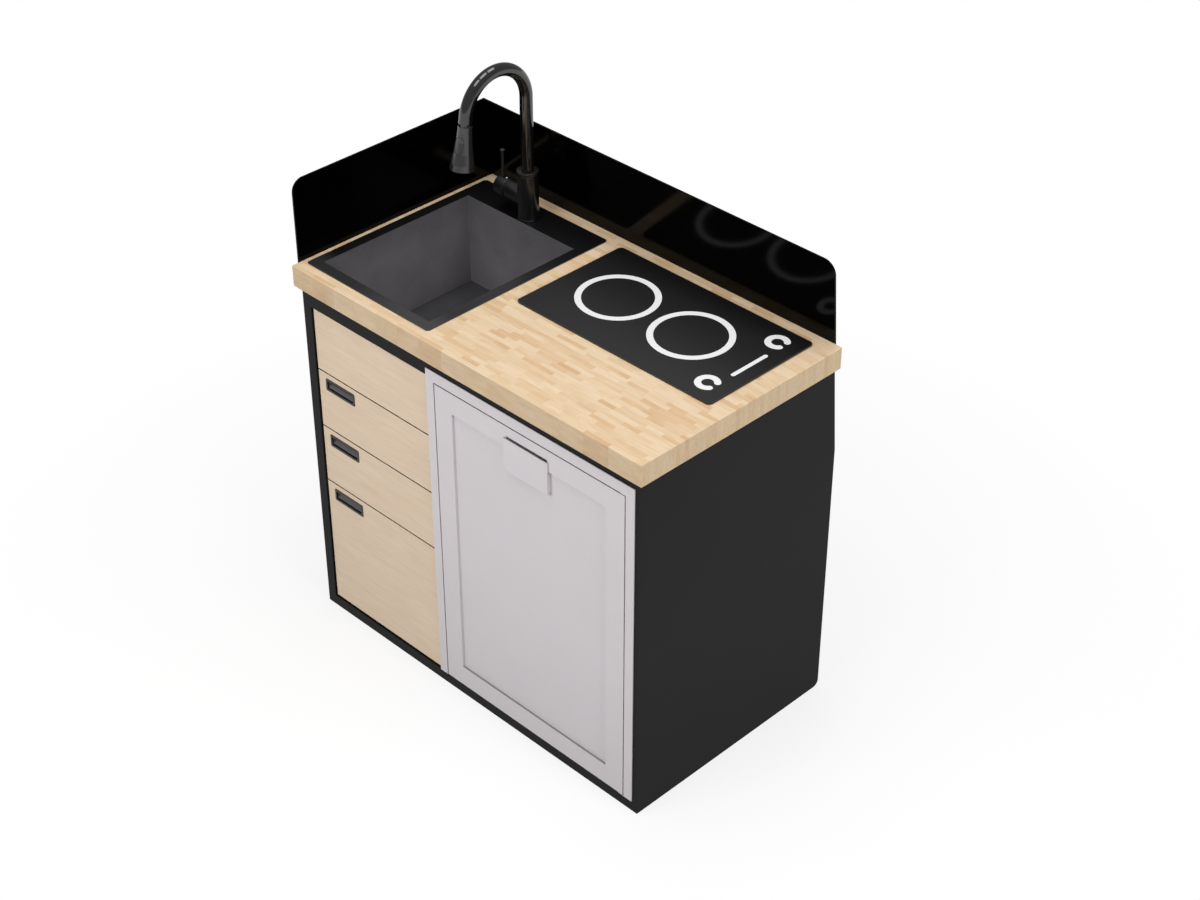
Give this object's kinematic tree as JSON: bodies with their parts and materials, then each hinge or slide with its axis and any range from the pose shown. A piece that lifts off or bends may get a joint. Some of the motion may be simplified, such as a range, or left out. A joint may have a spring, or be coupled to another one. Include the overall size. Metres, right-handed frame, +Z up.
{
  "type": "kitchenette unit with sink and hob",
  "caption": "Compact kitchenette with inset sink, pull-down tap, induction hob, built-in refrigerator, drawers and splashback, its back leaning in towards the top.",
  "frame": {"origin": "on the floor, in the middle of the unit's width and depth", "axes": "+X to the right seen from the front, +Y to the back, +Z up"},
  "size_m": [1.026, 0.587, 1.2924],
  "materials": {
    "black_board": "black laminated board, fine texture",
    "rail_board": "dark laminated board",
    "butcher_block": "light butcher-block staves, satin oil",
    "gloss_black": "polished black acrylic",
    "black_steel": "black enamel",
    "front_wood": "light wood with fine level grain",
    "box_wood": "pale birch ply",
    "pull_plastic": "black satin plastic",
    "runner_steel": "zinc-plated steel",
    "sink_black": "black coated steel with fine brush marks",
    "waste_plastic": "black polypropylene",
    "dark_steel": "dark coated steel",
    "tap_black": "satin black",
    "brass": "plain turned brass",
    "hose": "black braided nylon",
    "head_grey": "dark grey satin plastic",
    "hob_glass": "black ceramic glass, opaque",
    "print_white": "white fired print",
    "tray_steel": "galvanised sheet",
    "coil_copper": "wound copper litz",
    "fridge_grey": "light grey powder coat",
    "fridge_plastic": "light grey plastic",
    "liner_white": "white vacuum-formed lining",
    "gasket": "grey magnetic seal",
    "clear_plastic": "frosted clear plastic",
    "freezer_alu": "anodised sheet"
  },
  "bodies": {
    "cabinet": {"side_left": "black_board", "side_right": "black_board", "divider": "black_board", "bottom_panel": "black_board", "plinth_rail": "black_board", "top_rail": "black_board", "rear_rail_low": "rail_board", "rear_rail_mid": "rail_board", "rear_rail_top": "rail_board", "worktop": "butcher_block", "splash_rear": "gloss_black", "splash_left": "gloss_black", "splash_wedge": "rail_board", "splash_screws": "black_steel", "false_front": "front_wood", "runner_rails": "runner_steel", "sink": "sink_black", "sink_waste": "waste_plastic", "sink_trap": "waste_plastic", "slip_nuts": "waste_plastic", "tap_body": "tap_black", "tap_shank": "brass", "hob_glass": "hob_glass", "hob_marks": "print_white", "hob_tray": "tray_steel", "hob_coils": "coil_copper", "fridge_case": "fridge_grey", "fridge_liner": "liner_white", "fridge_flange": "fridge_grey", "fridge_shelves": "clear_plastic", "freezer_box": "freezer_alu", "cooling_unit": "black_steel"},
    "drawer_1": {"drawer_front_1": "front_wood", "drawer_box_1": "box_wood", "drawer_pull_1": "pull_plastic", "runner_inner_1": "runner_steel"},
    "slider_1": {"runner_middle_1": "runner_steel"},
    "drawer_2": {"drawer_front_2": "front_wood", "drawer_box_2": "box_wood", "drawer_pull_2": "pull_plastic", "runner_inner_2": "runner_steel"},
    "slider_2": {"runner_middle_2": "runner_steel"},
    "drawer_3": {"drawer_front_3": "front_wood", "drawer_box_3": "box_wood", "drawer_pull_3": "pull_plastic", "runner_inner_3": "runner_steel"},
    "slider_3": {"runner_middle_3": "runner_steel"},
    "fridge_door": {"fridge_door": "fridge_grey", "door_liner": "liner_white", "door_gasket": "gasket", "door_bins": "clear_plastic"},
    "door_flap": {"door_pull": "fridge_plastic"},
    "spout": {"tap_spout": "tap_black", "spray_hose": "hose"},
    "spray": {"spray_head": "head_grey"},
    "spray_key": {"spray_button": "head_grey"},
    "valve": {"valve_ball": "dark_steel"},
    "lever": {"lever_cap": "tap_black", "lever_rod": "tap_black"},
    "strainer": {"sink_basket": "dark_steel"}
  },
  "joints": [
    {"name": "drawer_1_slide", "type": "slide", "parent": "cabinet", "child": "drawer_1", "axis": [0, -1, 0], "range_m": [0, 0.28]},
    {"name": "slider_1_slide", "type": "slide", "parent": "cabinet", "child": "slider_1", "axis": [0, -1, 0], "range_m": [0, 0.14]},
    {"name": "drawer_2_slide", "type": "slide", "parent": "cabinet", "child": "drawer_2", "axis": [0, -1, 0], "range_m": [0, 0.28]},
    {"name": "slider_2_slide", "type": "slide", "parent": "cabinet", "child": "slider_2", "axis": [0, -1, 0], "range_m": [0, 0.14]},
    {"name": "drawer_3_slide", "type": "slide", "parent": "cabinet", "child": "drawer_3", "axis": [0, -1, 0], "range_m": [0, 0.28]},
    {"name": "slider_3_slide", "type": "slide", "parent": "cabinet", "child": "slider_3", "axis": [0, -1, 0], "range_m": [0, 0.14]},
    {"name": "fridge_hinge", "type": "hinge", "parent": "cabinet", "child": "fridge_door", "pos_m": [0.4505, -0.276, 0.41325], "axis": [0, 0, 1], "range_deg": [0, 105]},
    {"name": "flap_hinge", "type": "hinge", "parent": "fridge_door", "child": "door_flap", "pos_m": [0.191, -0.281, 0.6982], "axis": [1, 0, 0], "range_deg": [0, 22], "stiffness_Nm_per_rad": 0.1, "springref_deg": -8.59},
    {"name": "spout_swivel", "type": "hinge", "parent": "cabinet", "child": "spout", "pos_m": [-0.3032, 0.1954, 1.0115], "axis": [0, 0, 1], "range_deg": [-60, 90]},
    {"name": "spray_pull", "type": "slide", "parent": "spout", "child": "spray", "axis": [0, -0.1392, -0.9903], "range_m": [0, 0.15]},
    {"name": "spray_key_press", "type": "slide", "parent": "spray", "child": "spray_key", "axis": [-0.2071, 0.9528, -0.2219], "range_m": [0, 0.0015], "stiffness_N_per_m": 400, "springref_m": -0.002},
    {"name": "lever_turn", "type": "hinge", "parent": "cabinet", "child": "valve", "pos_m": [-0.362, 0.1954, 0.951], "axis": [1, 0, 0], "range_deg": [-25, 75]},
    {"name": "lever_tilt", "type": "hinge", "parent": "valve", "child": "lever", "pos_m": [-0.362, 0.1954, 0.951], "axis": [0, -1, 0], "range_deg": [0, 15]},
    {"name": "strainer_lift", "type": "slide", "parent": "cabinet", "child": "strainer", "axis": [0, 0, 1], "range_m": [0, 0.06]}
  ],
  "couplings": [
    {"joint": "slider_1_slide", "follows": "drawer_1_slide", "ratio": 0.5},
    {"joint": "slider_2_slide", "follows": "drawer_2_slide", "ratio": 0.5},
    {"joint": "slider_3_slide", "follows": "drawer_3_slide", "ratio": 0.5}
  ]
}
